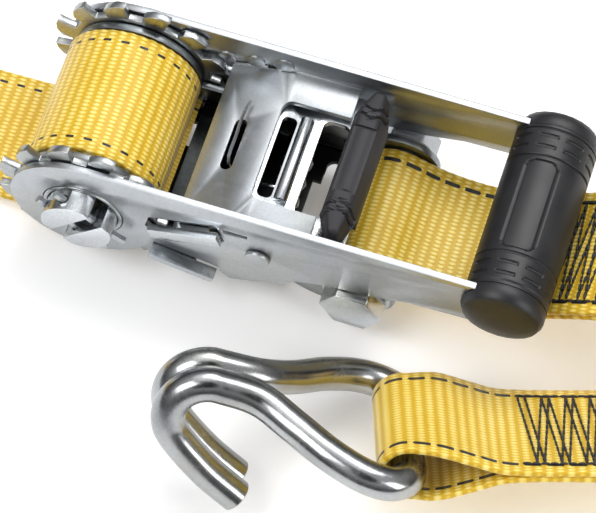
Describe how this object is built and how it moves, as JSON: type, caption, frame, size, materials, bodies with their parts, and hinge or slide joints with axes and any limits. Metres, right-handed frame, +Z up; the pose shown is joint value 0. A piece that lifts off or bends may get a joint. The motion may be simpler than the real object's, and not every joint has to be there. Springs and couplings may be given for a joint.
{
  "type": "ratchet strap",
  "caption": "Ratchet tie-down strap: steel ratchet buckle with rubber grip, yellow webbing, its long end folded in a stack, and sewn to a double J hook at each end.",
  "frame": {"origin": "middle of the flat underside of the buckle's base frame", "axes": "+X along the strap from the drum to the grip, +Y across the strap, +Z up"},
  "size_m": [1.0798, 0.1637, 0.0655],
  "materials": {
    "zinc_plated_steel": "satin zinc plate",
    "bright_zinc_steel": "bright zinc plate",
    "wheel_steel": "satin zinc plate",
    "webbing": "woven polyester",
    "grip_rubber": "satin",
    "pull_rubber": "matte"
  },
  "bodies": {
    "base": {"base_frame": "zinc_plated_steel", "base_bolt": "bright_zinc_steel", "bolt_nut": "zinc_plated_steel", "bolt_washer_near": "zinc_plated_steel", "bolt_washer_far": "zinc_plated_steel", "bolt_sleeve": "zinc_plated_steel", "lock_spring_pin": "zinc_plated_steel", "lock_spring": "zinc_plated_steel", "bolt_strap_eye": "webbing", "folded_strap": "webbing", "long_strap_lead": "webbing", "strap_bundle": "webbing", "strap_tail": "webbing", "hook_a_strap_eye": "webbing", "hook_b_strap_eye": "webbing"},
    "drum": {"mandrel_half_upper": "bright_zinc_steel", "mandrel_half_lower": "bright_zinc_steel", "split_pin_near_1": "zinc_plated_steel", "split_pin_near_2": "zinc_plated_steel", "split_pin_far_1": "zinc_plated_steel", "split_pin_far_2": "zinc_plated_steel", "ratchet_wheel_near": "wheel_steel", "ratchet_wheel_far": "wheel_steel", "drum_collar_near": "zinc_plated_steel", "drum_collar_far": "zinc_plated_steel", "drum_webbing": "webbing"},
    "handle": {"handle_frame": "zinc_plated_steel", "grip_tube": "zinc_plated_steel", "grip_sleeve": "grip_rubber", "grip_cap_near": "grip_rubber", "grip_cap_far": "grip_rubber", "pawl_spring_pin": "zinc_plated_steel", "pawl_spring": "zinc_plated_steel"},
    "handle_pawl": {"handle_pawl": "bright_zinc_steel", "finger_pull": "pull_rubber"},
    "lock_pawl": {"lock_pawl": "bright_zinc_steel"},
    "hook_a": {"hook_a": "bright_zinc_steel"},
    "hook_b": {"hook_b": "bright_zinc_steel"}
  },
  "joints": [
    {"name": "handle_fold", "type": "hinge", "parent": "base", "child": "handle", "pos_m": [-0.048, 0, 0.022], "axis": [0, -1, 0], "range_deg": [0, 178]},
    {"name": "drum_spin", "type": "hinge", "parent": "base", "child": "drum", "pos_m": [-0.048, 0, 0.022], "axis": [0, 1, 0], "continuous": true},
    {"name": "handle_pawl_slide", "type": "slide", "parent": "handle", "child": "handle_pawl", "axis": [0.9494, 0, 0.314], "range_m": [-0.0055, 0.0015], "stiffness_N_per_m": 1500},
    {"name": "lock_pawl_slide", "type": "slide", "parent": "base", "child": "lock_pawl", "axis": [0.9781, 0, -0.2079], "range_m": [0, 0.007], "stiffness_N_per_m": 1500, "springref_m": -0.001},
    {"name": "hook_a_swivel", "type": "hinge", "parent": "base", "child": "hook_a", "pos_m": [0.0844, -0.0815, 0.0193], "axis": [-0.2649, 0.8152, -0.515], "range_deg": [-90, 90]},
    {"name": "hook_b_swivel", "type": "hinge", "parent": "base", "child": "hook_b", "pos_m": [-0.65, 0, 0.0169], "axis": [0, 1, 0], "range_deg": [-90, 90]}
  ]
}
